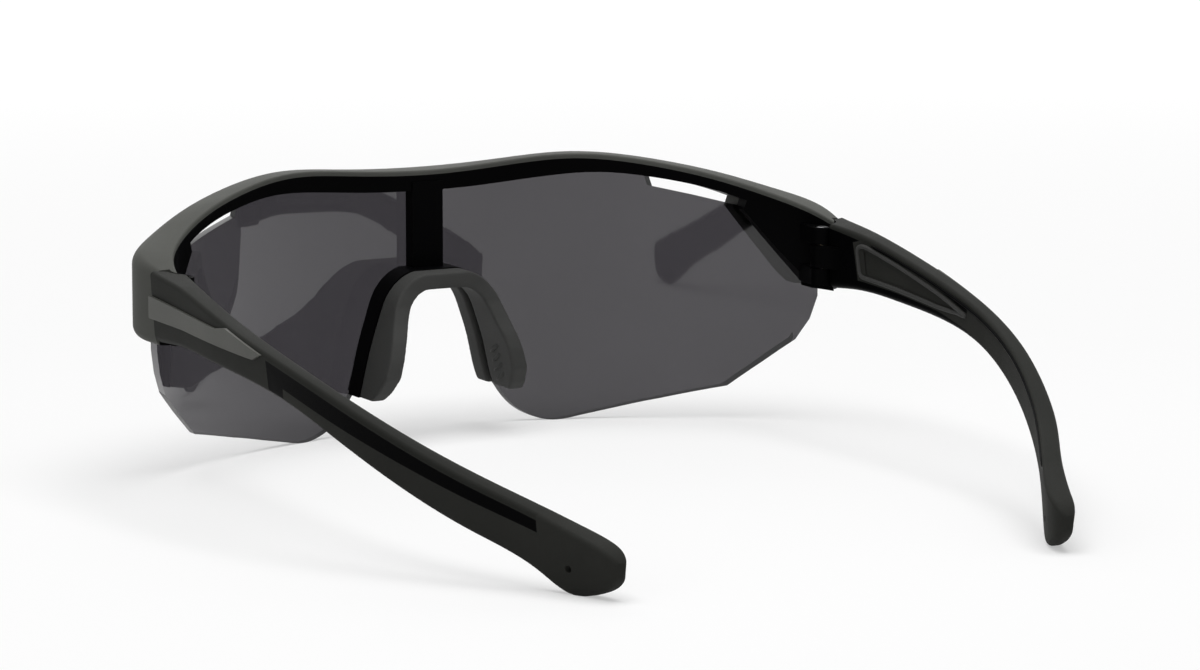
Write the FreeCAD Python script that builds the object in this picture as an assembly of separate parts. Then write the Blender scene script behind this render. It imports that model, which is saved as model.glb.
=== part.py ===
"""Wraparound sport sunglasses: half-rim brow frame, one shield lens, folding two-part temples.

Frame of the part: millimetres, +X to the wearer's left, +Y to the rear (the temples), +Z up.
The glasses stand on the lens's two lower lobes and the two temple tips, at Z = 0.
Most shapes are first made with the lens apex at Y = 0; the last step moves them to the origin,
which is the middle of the box's bottom.
"""
import FreeCAD, Part
import math
import os

Vec = FreeCAD.Vector

# ---- Lens: a vertical cylinder's wall --------------------------------------------------------
LENS_REAR_RADIUS = 89.0
LENS_THICKNESS = 1.8
LENS_SEAT = 2.2                      # depth of the lens inside the frame's groove
LENS_OUTER_X = 67.6                  # half width of the lens at its outer corner
LENS_OUTER_Z = 24.4

# ---- Brow frame: sections stand in planes through the lens axis ------------------------------
# angle from the middle (deg), outer radius, inner radius, top height, radius of the outer edges
BROW_STATIONS = [
    (0.0, 92.2, 86.2, 49.1, 1.1),
    (10.0, 92.2, 87.4, 49.8, 1.1),
    (19.0, 92.2, 87.6, 50.8, 1.1),
    (29.0, 92.6, 87.6, 49.2, 1.1),
    (37.0, 93.4, 87.6, 46.6, 1.4),
    (43.5, 94.6, 87.3, 43.8, 2.2),
    (47.8, 94.3, 86.4, 41.9, 2.4),
    (51.5, 89.7, 84.6, 40.1, 1.6),
    (55.0, 86.7, 82.6, 38.7, 1.2),
]
END_PIECE_BOTTOM = 26.3
BROW_INNER_EDGE_RADIUS = 0.4
SEAM_POINT = (66.2, 36.9)            # where the seam meets the temple's inner side
SEAM_TURN = 21.0                     # the seam's outer end lies forward by this angle
BROW_SKIN = 0.9                      # outer shell left over the carrier at the top
END_SKIN = 1.6                       # outer shell left outside the carrier at the seam
# lower edge of the frame seen from the front (x, z), from the middle to the vent's outer tip
BROW_LOWER_EDGE = [(0.0, 45.3), (12.0, 45.6), (24.0, 46.7), (34.0, 47.2), (42.0, 46.3),
                   (50.0, 44.6), (57.1, 42.1)]
END_PIECE_INNER_TOP = (56.6, 40.3)   # the diagonal edge of the end piece over the lens
END_PIECE_INNER_LOW = (65.4, 26.9)

# ---- Vent notch in the lens's upper edge -----------------------------------------------------
VENT_INNER_TOP_X = 41.9
VENT_INNER_LOW = (43.1, 44.3)
VENT_MIDDLE_LOW = (50.2, 42.6)

# ---- Centre post and nose bracket ------------------------------------------------------------
POST_HALF_WIDTH = 3.1
POST_REAR_RADIUS = 85.9
NOSE_TOP = 31.0
# outer side of the nose bracket's right half (x, z), from the flat top to the foot
NOSE_CURVE = [(4.6, 31.0), (8.1, 29.2), (10.2, 26.7), (11.8, 22.8), (13.4, 17.9), (15.5, 9.6),
              (15.9, 7.9)]
BRACKET_WALL = 1.5
BRACKET_DEPTH = 5.8                  # to the rear of the lens apex
LENS_CUT_INSET = 1.2                 # the lens ends this far inside the bracket's outer side
PAD_INNER_INSET = 3.1
PAD_FRONT_LIP = (-2.4, 2.2)          # y from and to
PAD_TONGUE_START = 4.4
PAD_BRIDGE_HALF_WIDTH = 4.0
# rear edge of the soft wings, seen from the side (z, y)
PAD_REAR_EDGE = [(7.6, 10.6), (9.5, 13.0), (12.5, 15.3), (16.0, 15.4), (19.0, 14.5), (22.0, 13.0),
                 (25.0, 11.7), (28.0, 11.0), (32.0, 10.8)]

# ---- Temples ---------------------------------------------------------------------------------
# y, outer x, inner x, top z, bottom z, how far the outer side draws in at the bottom
TEMPLE_STATIONS = [                  # y, outer x, inner x, top, bottom, how much the outer side leans in
    (28.0, 70.0, 64.3, 41.2, 27.2, 0.5),
    (45.0, 70.8, 66.1, 38.7, 27.5, 0.5),
    (60.0, 71.2, 67.3, 36.2, 27.1, 0.4),
    (75.0, 71.0, 67.3, 33.3, 26.1, 0.4),
    (90.0, 69.6, 66.3, 30.2, 23.8, 0.3),
    (105.0, 66.9, 63.6, 26.2, 19.0, 0.3),
    (120.0, 62.3, 58.7, 21.3, 13.0, 0.4),
    (132.0, 57.2, 53.2, 17.2, 8.3, 0.6),
    (144.0, 50.8, 46.6, 13.0, 2.8, 0.9),
    (149.0, 48.5, 43.9, 11.2, 0.0, 1.2),
    (154.0, 46.4, 41.7, 9.5, 0.7, 1.1),
    (157.8, 44.7, 41.2, 7.8, 2.7, 0.7),
    (159.0, 43.6, 41.8, 6.6, 4.2, 0.2),
]
TEMPLE_TOP_RADIUS = 0.8
TEMPLE_BOTTOM_RADIUS = 1.3
TEMPLE_INNER_LEAN = 0.3              # the inner side draws in by this much at the bottom
STRIP_THICKNESS = 1.1                # graphite strip along the top of the temple
SHELL_END = 144.2
LOWER_SHELL_END = 88.0
BAND_START = 79.0
INNER_BAND = 0.5                     # black line under the strip on the inner side
SHELL_SHARE = 0.5                    # part of the temple's width that the outer shell takes
# upper edge of the soft grip (y, z)
GRIP_EDGE = [(58.0, 31.9), (75.0, 29.3), (90.0, 26.0), (105.0, 22.0), (120.0, 17.6), (132.0, 13.8),
             (146.0, 9.2)]
INNER_SIDE = [(86.0, -20.0), (86.0, 60.0), (SHELL_END + 0.5, 60.0), (SHELL_END + 0.5, -20.0)]
PAD_SKIN = 1.2                       # thickness of the soft pad on the temple's inner side
PAD_OUTLINE = [(47.5, 29.6), (46.2, 36.6), (48.5, 37.2), (60.0, 34.9), (75.0, 31.7), (92.0, 27.2),
               (96.0, 24.6), (86.0, 25.6), (75.0, 27.6), (60.0, 28.9)]
FIELD_OUTLINE = [(50.0, 30.8), (49.4, 35.4), (60.0, 33.4), (75.0, 30.2), (84.0, 27.9),
                 (75.0, 28.9), (60.0, 30.2)]
FIELD_DEPTH = 0.4
# raised rib on the outer side (y, z)
ACCENT_OUTLINE = [(30.0, 31.3), (30.0, 35.6), (64.0, 33.6), (68.5, 34.2), (81.5, 31.4),
                  (78.6, 30.2), (50.0, 31.2)]
ACCENT_RISE = 0.35
ACCENT_POCKET = 0.6
SPINE_END = 156.0                    # the core's spine carries the soft tip
SPINE_THICKNESS = 1.6
SPINE_HEIGHT = 3.0
TIP_HOLE = (149.6, 4.4)              # y, z
TIP_HOLE_RADIUS = 0.6

# ---- Hinge -----------------------------------------------------------------------------------
HINGE_X = 65.2
HINGE_Y = 36.9
BARREL_RADIUS = 2.2
LUG_ROOT_ANGLES = (47.5, 48.6)
LUG_ROOT_RADII = (86.7, 88.4)
LUG_BOTTOM = 27.6
LUG_TOP = 38.4
TONGUE_BOTTOM = 30.9
TONGUE_TOP = 35.1
AXIAL_GAP = 0.2                      # lug to tongue
SEAM_GAP = 0.35                      # end piece to temple
SWING_GAP = 0.35                     # around the barrels
PIN_RADIUS = 0.7
RUNNING_GAP = 0.05
BUSH_RADIUS = 1.25
SCREW_HEAD_RADIUS = 1.25
SCREW_HEAD_HEIGHT = 0.9
SCREW_SLOT = (0.35, 0.4)             # width, depth
NUT_ACROSS_CORNERS = 2.6
NUT_HEIGHT = 1.2
FIT_GAP = 0.06                       # between pieces that seat in one another

# ---- Worked out ------------------------------------------------------------------------------
LENS_FRONT_RADIUS = LENS_REAR_RADIUS + LENS_THICKNESS
LENS_AXIS = Vec(0, LENS_REAR_RADIUS, 0)
FRONT_Y = LENS_REAR_RADIUS - BROW_STATIONS[0][1]
REAR_Y = TEMPLE_STATIONS[-1][0]
TO_ORIGIN = Vec(0, -(FRONT_Y + REAR_Y) / 2, 0)
FAR = 200.0


def spline(points):
    """An edge of one smooth curve through the points."""
    curve = Part.BSplineCurve()
    curve.interpolate(points)
    return curve.toShape()


def polyline(points):
    """Edges of straight lines through the points."""
    return [Part.LineSegment(a, b).toShape() for a, b in zip(points, points[1:])]


def rounded_wire(corners, radii):
    """A closed wire of lines and corner arcs. corners: vectors in one plane; radii: one for each."""
    count = len(corners)
    starts, middles, ends = [], [], []
    for i, corner in enumerate(corners):
        before = (corners[i - 1] - corner).normalize()
        after = (corners[(i + 1) % count] - corner).normalize()
        half = before.getAngle(after) / 2
        reach = radii[i] / math.tan(half)
        bisector = (before + after).normalize()
        centre = corner + bisector * (radii[i] / math.sin(half))
        starts.append(corner + before * reach)
        middles.append(centre - bisector * radii[i])
        ends.append(corner + after * reach)
    edges = []
    for i in range(count):
        edges.append(Part.Arc(starts[i], middles[i], ends[i]).toShape())
        edges.append(Part.LineSegment(ends[i], starts[(i + 1) % count]).toShape())
    return Part.Wire(edges)


def vertical_cylinder(radius, centre, bottom, top):
    """A solid cylinder along Z."""
    return Part.makeCylinder(radius, top - bottom, Vec(centre.x, centre.y, bottom))


def prism_x(outline, x_from, x_to):
    """A solid with a polygon of (y, z) points, between two values of x."""
    points = [Vec(x_from, y, z) for y, z in outline]
    wire = Part.Wire(polyline(points + points[:1]))
    return Part.Face(wire).extrude(Vec(x_to - x_from, 0, 0))


def mirrored(shape):
    """The same shape on the other side of the glasses."""
    return shape.mirror(Vec(0, 0, 0), Vec(1, 0, 0))


def both_sides(points):
    """(x, z) points from the left side, then through the middle to the right side."""
    return [(-x, z) for x, z in reversed(points) if x > 0] + points


# ---- Brow frame, lens carrier and lens -------------------------------------------------------
def radial_point(angle, radius, height):
    """A point at an angle around the lens axis."""
    turn = math.radians(angle)
    return Vec(radius * math.sin(turn), LENS_REAR_RADIUS - radius * math.cos(turn), height)


def mirrored_stations():
    """The brow's stations from one end to the other."""
    return [(-station[0], *station[1:]) for station in reversed(BROW_STATIONS[1:])] + BROW_STATIONS


def radial_section(angle, inner, outer, bottom, top):
    """Corners of an upright section, from the inner bottom round by the outer side."""
    return [radial_point(angle, inner, bottom), radial_point(angle, outer, bottom),
            radial_point(angle, outer, top), radial_point(angle, inner, top)]


def brow_band():
    """The whole brow, lens space and carrier included, before the window is cut."""
    wires = []
    for angle, outer, inner, top, edge in mirrored_stations():
        corners = radial_section(angle, inner, outer, END_PIECE_BOTTOM, top)
        radii = [BROW_INNER_EDGE_RADIUS, edge, edge, BROW_INNER_EDGE_RADIUS]
        wires.append(rounded_wire(corners, radii))
    return Part.makeLoft(wires, True, False)


def carrier_room():
    """What the carrier takes of the brow: everything behind the lens and under the top skin."""
    wires = []
    for angle, outer, inner, top, _ in mirrored_stations():
        corners = radial_section(angle, inner - 3.0, carrier_limit(outer), END_PIECE_BOTTOM - 3.0,
                                 top - BROW_SKIN)
        wires.append(Part.Wire(polyline(corners + corners[:1])))
    return Part.makeLoft(wires, True, False)


def carrier_limit(outer):
    """Where the outer shell starts: half way into the lens's groove, or outside it at the seam."""
    return min(LENS_REAR_RADIUS + LENS_THICKNESS / 2, outer - END_SKIN)


def brow_window():
    """Everything under the frame's lower edge, as a solid along Y."""
    lower = [Vec(x, -20, z) for x, z in both_sides(BROW_LOWER_EDGE)]
    side = [END_PIECE_INNER_TOP, END_PIECE_INNER_LOW, (END_PIECE_INNER_LOW[0] + 0.6, 0.0)]
    right = [lower[-1]] + [Vec(x, -20, z) for x, z in side]
    left = [Vec(-p.x, p.y, p.z) for p in reversed(right)]
    edges = [spline(lower)] + polyline(right + left)
    return Part.Face(Part.Wire(Part.__sortEdges__(edges))).extrude(Vec(0, 80, 0))


def nose_side(inset):
    """Points of the bracket's right half moved inwards by inset, from the flat top to the foot."""
    side = [Vec(x, 0, z) for x, z in NOSE_CURVE]
    moved = []
    for i, point in enumerate(side):
        before = side[max(i - 1, 0)]
        after = side[min(i + 1, len(side) - 1)]
        along = Vec(1, 0, 0) if i == 0 else (after - before).normalize()
        moved.append(point + Vec(along.z, 0, -along.x) * inset)
    moved[0] = Vec(side[0].x - inset * 0.3, 0, NOSE_TOP - inset)
    moved[-1] = Vec(moved[-1].x, 0, side[-1].z)
    return moved


def nose_arch(inset, y):
    """Edges of the inverted U: a curve down each side of a flat top."""
    right = [p + Vec(0, y, 0) for p in nose_side(inset)]
    left = [Vec(-p.x, p.y, p.z) for p in right]
    return [spline(right), spline(left)] + polyline([left[0], right[0]])


def nose_foot(inset, y):
    """The right-hand foot of the inverted U."""
    return nose_side(inset)[-1] + Vec(0, y, 0)


def nose_band(outer_inset, inner_inset, y_from, y_to):
    """The inverted U between two insets, between two values of y."""
    outer, inner = nose_foot(outer_inset, y_from), nose_foot(inner_inset, y_from)
    edges = nose_arch(outer_inset, y_from) + nose_arch(inner_inset, y_from)
    edges += polyline([outer, inner])
    edges += polyline([Vec(-outer.x, outer.y, outer.z), Vec(-inner.x, inner.y, inner.z)])
    return Part.Face(Part.Wire(Part.__sortEdges__(edges))).extrude(Vec(0, y_to - y_from, 0))


def lens_wall(gap):
    """The full cylinder wall that the lens is cut from, thicker by gap on each face."""
    outer = vertical_cylinder(LENS_FRONT_RADIUS + gap, LENS_AXIS, -5, 60)
    inner = vertical_cylinder(LENS_REAR_RADIUS - gap, LENS_AXIS, -5, 60)
    front_half = Part.makeBox(2 * FAR, 45, 80, Vec(-FAR, -5, -10))
    return outer.cut(inner).common(front_half)


def lens_outline(gap):
    """The lens seen from the front, as a solid along Y. gap widens what the frame hides."""
    seat = LENS_SEAT + gap
    top = [(x, z + seat) for x, z in BROW_LOWER_EDGE if x < VENT_INNER_TOP_X]
    top.append((VENT_INNER_TOP_X, BROW_LOWER_EDGE[4][1] + seat))
    vent = [VENT_INNER_LOW, VENT_MIDDLE_LOW, (END_PIECE_INNER_TOP[0] + seat, END_PIECE_INNER_TOP[1])]
    hidden = [
        (END_PIECE_INNER_LOW[0] + seat * 0.6, END_PIECE_INNER_LOW[1] + 1.5),
        (LENS_OUTER_X, LENS_OUTER_Z + 2.0),
        (LENS_OUTER_X, LENS_OUTER_Z),
    ]
    low = [(66.6, 20.0), (64.7, 15.9), (60.2, 11.4), (55.0, 6.5), (44.2, 3.8)]
    lobe = [(44.2, 3.8), (36.0, 1.9), (30.6, 0.7), (26.0, 0.0), (22.2, 0.8), (18.9, 2.7),
            (16.5, 5.3), (15.4, 7.0)]
    cut = nose_foot(LENS_CUT_INSET, 0)

    def side(sign):
        """Edges of one half, from the top middle to the nose cut-out."""
        def at(pairs):
            return [Vec(sign * x, -20, z) for x, z in pairs]
        edges = polyline(at([top[-1]] + vent + hidden + low))
        edges.append(spline(at(lobe)))
        edges += polyline(at([lobe[-1], (cut.x, cut.z)]))
        return edges

    edges = [spline([Vec(x, -20, z) for x, z in both_sides(top)])]
    edges += nose_arch(LENS_CUT_INSET, -20) + side(1) + side(-1)
    return Part.Face(Part.Wire(Part.__sortEdges__(edges))).extrude(Vec(0, 80, 0))


def seam_cut(behind, gap):
    """The space in front of, or behind, the plane between an end piece and its temple."""
    turn = math.radians(SEAM_TURN)
    along = Vec(math.cos(turn), -math.sin(turn), 0)
    rearward = Vec(math.sin(turn), math.cos(turn), 0)
    start = Vec(*SEAM_POINT, 0) + rearward * gap - along * FAR
    end = start + along * 2 * FAR
    reach = rearward * (FAR if behind else -FAR)
    corners = [start, end, end + reach, start + reach, start]
    return Part.Face(Part.Wire(polyline(corners))).extrude(Vec(0, 0, 80))


def hinge_axis():
    return Vec(HINGE_X, HINGE_Y, 0)


def lug(bottom, top):
    """One barrel of the carrier, with its web running forward into the end piece."""
    barrel = vertical_cylinder(BARREL_RADIUS, hinge_axis(), bottom, top)
    roots = [radial_point(a, r, bottom) for a, r in zip(LUG_ROOT_ANGLES, LUG_ROOT_RADII)]
    web_points = [
        Vec(HINGE_X - BARREL_RADIUS, HINGE_Y, bottom),
        roots[0],
        roots[1],
        Vec(HINGE_X + BARREL_RADIUS * 0.75, HINGE_Y - BARREL_RADIUS * 0.65, bottom),
    ]
    face = Part.Face(Part.Wire(polyline(web_points + web_points[:1])))
    return barrel.fuse(face.extrude(Vec(0, 0, top - bottom)))


def make_front():
    """Brow frame, lens carrier and lens."""
    band = brow_band().cut(brow_window()).cut(seam_limit()).cut(mirrored(seam_limit()))
    behind_lens = carrier_room()
    inner_band = band.common(behind_lens)
    pocket = lens_wall(FIT_GAP).common(lens_outline(FIT_GAP))
    lens = lens_wall(0.0).common(lens_outline(0.0))
    brow = band.cut(behind_lens).cut(pocket)
    post_wall = vertical_cylinder(LENS_REAR_RADIUS - FIT_GAP, LENS_AXIS, NOSE_TOP, 47)
    post_wall = post_wall.cut(vertical_cylinder(POST_REAR_RADIUS, LENS_AXIS, NOSE_TOP, 47))
    post = post_wall.common(Part.makeBox(2 * POST_HALF_WIDTH, 10, 60, Vec(-POST_HALF_WIDTH, -2, 0)))
    carrier = inner_band.cut(pocket).fuse(post)
    tongue_room = vertical_cylinder(BARREL_RADIUS + SWING_GAP, hinge_axis(), TONGUE_BOTTOM - AXIAL_GAP,
                                    TONGUE_TOP + AXIAL_GAP)
    screw_room = screw(FIT_GAP)
    nut_room = nut(FIT_GAP)
    for side in (lambda s: s, mirrored):
        for bottom, top in ((LUG_BOTTOM, TONGUE_BOTTOM - AXIAL_GAP), (TONGUE_TOP + AXIAL_GAP, LUG_TOP)):
            carrier = carrier.fuse(side(lug(bottom, top).cut(seam_limit())))
        carrier = carrier.cut(side(tongue_room))
        carrier = carrier.cut(side(screw_room))
        carrier = carrier.cut(side(nut_room))
        brow = brow.cut(side(tongue_room))
    return brow, carrier.cut(brow), lens


def seam_limit():
    """Everything behind the seam, outside the barrel: neither brow nor lug reaches into it."""
    return seam_cut(True, 0.0).cut(vertical_cylinder(BARREL_RADIUS, hinge_axis(), 0, 80))


# ---- Hinge hardware --------------------------------------------------------------------------
def screw(gap):
    """Slotted screw down the hinge axis: head in the upper lug, thread in the nut."""
    shank = vertical_cylinder(PIN_RADIUS + gap * 0.2, hinge_axis(), LUG_BOTTOM, LUG_TOP)
    head = vertical_cylinder(SCREW_HEAD_RADIUS + gap, hinge_axis(), LUG_TOP - SCREW_HEAD_HEIGHT,
                             LUG_TOP + gap)
    body = shank.fuse(head)
    if gap == 0:
        width, depth = SCREW_SLOT
        slot = Part.makeBox(4 * SCREW_HEAD_RADIUS, width, depth,
                            Vec(HINGE_X - 2 * SCREW_HEAD_RADIUS, HINGE_Y - width / 2, LUG_TOP - depth))
        body = body.cut(slot)
    return body


def nut(gap):
    """Hexagonal insert in the lower lug."""
    corners = []
    for k in range(7):
        turn = math.radians(60 * k)
        radius = NUT_ACROSS_CORNERS / 2 + gap
        corners.append(Vec(HINGE_X + radius * math.cos(turn), HINGE_Y + radius * math.sin(turn),
                           LUG_BOTTOM))
    body = Part.Face(Part.Wire(polyline(corners))).extrude(Vec(0, 0, NUT_HEIGHT + gap))
    if gap == 0:
        body = body.cut(vertical_cylinder(PIN_RADIUS + FIT_GAP * 0.2, hinge_axis(), LUG_BOTTOM, LUG_TOP))
    return body


def bush():
    """Sleeve in the temple's tongue that turns on the screw."""
    outer = vertical_cylinder(BUSH_RADIUS, hinge_axis(), TONGUE_BOTTOM, TONGUE_TOP)
    return outer.cut(vertical_cylinder(PIN_RADIUS + RUNNING_GAP, hinge_axis(), TONGUE_BOTTOM, TONGUE_TOP))


# ---- Nose bracket and pad --------------------------------------------------------------------
def make_nose():
    """Hard bracket behind the lens's nose cut-out, and the soft pad clipped to it."""
    behind_lens = vertical_cylinder(LENS_REAR_RADIUS - FIT_GAP, LENS_AXIS, 0, 60)
    bracket = nose_band(0.0, BRACKET_WALL, -1.0, BRACKET_DEPTH).common(behind_lens)
    rear_room = [(y, z) for z, y in PAD_REAR_EDGE]
    rear_cut = prism_x(rear_room + [(60, 32), (60, 7.6)], -30, 30)
    tongue = nose_band(BRACKET_WALL + FIT_GAP, PAD_INNER_INSET, PAD_TONGUE_START, BRACKET_DEPTH + 1)
    wings = nose_band(0.1, PAD_INNER_INSET, BRACKET_DEPTH + FIT_GAP, 20).cut(rear_cut)
    lip = nose_band(BRACKET_WALL + FIT_GAP, PAD_INNER_INSET, *PAD_FRONT_LIP)
    bridge = nose_band(BRACKET_WALL + FIT_GAP, PAD_INNER_INSET, PAD_FRONT_LIP[0], BRACKET_DEPTH + 1)
    middle = Part.makeBox(2 * PAD_BRIDGE_HALF_WIDTH, 30, 60, Vec(-PAD_BRIDGE_HALF_WIDTH, -10, 0))
    pad = wings.fuse([tongue, lip, bridge.common(middle)])
    return bracket, pad.removeSplitter()


# ---- Temples ---------------------------------------------------------------------------------
def temple_loft():
    """The left temple's envelope: one smooth body from the end piece to the tip."""
    wires = []
    for y, x_out, x_in, top, bottom, lean in TEMPLE_STATIONS:
        width, height = x_out - x_in, top - bottom
        corners = [Vec(x_in + TEMPLE_INNER_LEAN, y, bottom), Vec(x_out - lean, y, bottom),
                   Vec(x_out, y, top), Vec(x_in, y, top)]
        low = min(TEMPLE_BOTTOM_RADIUS, width * 0.27, height * 0.4)
        high = min(TEMPLE_TOP_RADIUS, width * 0.36, height * 0.4)
        wires.append(rounded_wire(corners, [low, low, high, high]))
    return Part.makeLoft(wires, True, False)


def station_spline(points, drop):
    """A curve through (y, z) points, lowered by drop, at x = 0."""
    return spline([Vec(0, y, z - drop) for y, z in points])


def above(points, drop):
    """The space above a (y, z) curve, over the full width."""
    curve = station_spline(points, drop)
    first, last = points[0], points[-1]
    rest = [Vec(0, last[0], last[1] - drop), Vec(0, last[0], 80), Vec(0, first[0], 80),
            Vec(0, first[0], first[1] - drop)]
    face = Part.Face(Part.Wire(Part.__sortEdges__([curve] + polyline(rest))))
    return face.extrude(Vec(FAR, 0, 0))


def below(points):
    """The space below a (y, z) curve, over the full width."""
    first, last = points[0], points[-1]
    rest = [Vec(0, last[0], last[1]), Vec(0, last[0], -20), Vec(0, first[0], -20),
            Vec(0, first[0], first[1])]
    face = Part.Face(Part.Wire(Part.__sortEdges__([station_spline(points, 0)] + polyline(rest))))
    return face.extrude(Vec(FAR, 0, 0))


def spine():
    """The core's tail inside the soft tip."""
    wires = []
    for y, outer, inner, top, bottom, _ in TEMPLE_STATIONS:
        if SHELL_END - 15 < y <= SPINE_END:
            x, z = (outer + inner) / 2, (top + bottom) / 2 + 1.2
            half, rise = SPINE_THICKNESS / 2, SPINE_HEIGHT / 2
            corners = [Vec(x - half, y, z - rise), Vec(x + half, y, z - rise),
                       Vec(x + half, y, z + rise), Vec(x - half, y, z + rise)]
            wires.append(rounded_wire(corners, [half * 0.4] * 4))
    return Part.makeLoft(wires, True, False)


def tongue_arm():
    """The temple core's barrel between the lugs, with its arm into the temple."""
    barrel = vertical_cylinder(BARREL_RADIUS, hinge_axis(), TONGUE_BOTTOM, TONGUE_TOP)
    arm_points = [
        Vec(HINGE_X - BARREL_RADIUS, HINGE_Y, TONGUE_BOTTOM),
        Vec(HINGE_X + BARREL_RADIUS * 0.9, HINGE_Y + 0.4, TONGUE_BOTTOM),
        Vec(HINGE_X + BARREL_RADIUS * 1.6, HINGE_Y + 4.0, TONGUE_BOTTOM),
        Vec(HINGE_X + BARREL_RADIUS * 0.6, HINGE_Y + 7.0, TONGUE_BOTTOM),
    ]
    face = Part.Face(Part.Wire(polyline(arm_points + arm_points[:1])))
    arm = face.extrude(Vec(0, 0, TONGUE_TOP - TONGUE_BOTTOM))
    return barrel.fuse(arm)


def outward_of(share, shift):
    """The space outwards of a surface inside the left temple.

    share is how far the surface lies from the inner side, as part of the width, and shift moves it
    along X.
    """
    wires = []
    for y, outer, inner, top, bottom, _ in TEMPLE_STATIONS:
        x = inner + (outer - inner) * share + shift
        corners = [Vec(x, y, bottom - 8), Vec(FAR / 2, y, bottom - 8), Vec(FAR / 2, y, top + 8),
                   Vec(x, y, top + 8), Vec(x, y, bottom - 8)]
        wires.append(Part.Wire(polyline(corners)))
    return Part.makeLoft(wires, True, False)


def make_temple():
    """Shell, core, grip and accent of the left temple."""
    behind_seam = seam_cut(True, SEAM_GAP)
    lug_room = vertical_cylinder(BARREL_RADIUS + SWING_GAP, hinge_axis(), 0, 80)
    whole = temple_loft().common(behind_seam).cut(lug_room)
    whole = whole.cut(Part.makeCylinder(TIP_HOLE_RADIUS, FAR, Vec(0, *TIP_HOLE), Vec(1, 0, 0)))

    pad_room = prism_x(PAD_OUTLINE, 0, FAR).cut(outward_of(0, PAD_SKIN))
    field_room = prism_x(FIELD_OUTLINE, 0, FAR).cut(outward_of(0, FIELD_DEPTH))
    tip_room = Part.makeBox(FAR, REAR_Y, FAR, Vec(0, SHELL_END, -FAR / 2))
    lower_room = below(GRIP_EDGE).common(Part.makeBox(FAR, SHELL_END + 0.5 - LOWER_SHELL_END, FAR,
                                                      Vec(0, LOWER_SHELL_END, -FAR / 2)))
    inner_line = [(y, top - STRIP_THICKNESS - INNER_BAND) for y, _, _, top, _, _ in TEMPLE_STATIONS
                  if LOWER_SHELL_END - 15 < y <= SHELL_END + 6]
    inner_room = below(inner_line).common(prism_x(INNER_SIDE, 0, FAR)).cut(outward_of(SHELL_SHARE, 0))
    grip_room = tip_room.fuse(lower_room).fuse(inner_room)
    grip = whole.common(grip_room).fuse(whole.common(pad_room)).cut(field_room)
    hard = whole.cut(grip_room).cut(pad_room)

    top_line = [(y, top) for y, _, _, top, _, _ in TEMPLE_STATIONS if y <= SHELL_END + 6]
    strip_room = above(top_line, STRIP_THICKNESS)
    side_region = prism_x([(20, -20), (20, 60), (BAND_START, 60), (BAND_START + 5, 20),
                           (LOWER_SHELL_END, 20), (LOWER_SHELL_END, -20)], 0, FAR)
    shell_room = outward_of(SHELL_SHARE, 0).common(side_region).fuse(strip_room)
    shell = hard.common(shell_room)
    core = hard.cut(shell_room)

    pocket = prism_x(ACCENT_OUTLINE, 0, FAR).common(behind_seam).common(outward_of(1, -ACCENT_POCKET))
    accent = pocket.cut(outward_of(1, ACCENT_RISE))
    shell = shell.cut(pocket)

    tongue = tongue_arm().common(behind_seam.fuse(vertical_cylinder(BARREL_RADIUS, hinge_axis(), 0, 80)))
    core = core.fuse(tongue).fuse(spine())
    core = core.cut(vertical_cylinder(BUSH_RADIUS, hinge_axis(), 0, 80)).cut(pad_room)
    core = core.cut(Part.makeCylinder(TIP_HOLE_RADIUS, FAR, Vec(0, *TIP_HOLE), Vec(1, 0, 0)))
    shell = shell.cut(tongue)
    grip = grip.cut(spine())
    return shell, core, grip, accent


def main():
    """Write one STEP for each piece."""
    os.makedirs("parts", exist_ok=True)
    brow, carrier, lens = make_front()
    bracket, pad = make_nose()
    pieces = {
        "brow_frame": brow,
        "lens_carrier": carrier,
        "shield_lens": lens,
        "nose_bracket": bracket,
        "nose_pad": pad,
    }
    shell, core, grip, accent = make_temple()
    left = {
        "temple_shell": shell,
        "temple_core": core,
        "temple_grip": grip,
        "temple_accent": accent,
        "hinge_screw": screw(0),
        "hinge_nut": nut(0),
        "hinge_bush": bush(),
    }
    for name, shape in left.items():
        pieces[name + "_left"] = shape
        pieces[name + "_right"] = mirrored(shape)
    for name, shape in pieces.items():
        placed = shape.copy()
        placed.translate(TO_ORIGIN)
        placed.exportStep(f"parts/{name}.step")
        box = placed.BoundBox
        print(f"{name:22s} solids {len(placed.Solids)} valid {placed.isValid()} volume {placed.Volume:9.1f}"
              f"  x {box.XMin:7.2f} {box.XMax:7.2f}  y {box.YMin:7.2f} {box.YMax:7.2f}"
              f"  z {box.ZMin:6.2f} {box.ZMax:6.2f}")


main()
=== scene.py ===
"""Visual model of the wraparound sport sunglasses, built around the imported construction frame.

Every object is in metres, in the frame's own coordinates: +X to the wearer's left, +Y to the rear,
+Z up, on a surface at Z = 0. Sizes inside the classes are in millimetres, and go through mm() or
MILLIMETRE.
"""
import logging
import math
from dataclasses import dataclass
from enum import Enum
from typing import Sequence

import bmesh
import bpy
from mathutils import Matrix, Vector
from mathutils.bvhtree import BVHTree


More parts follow.
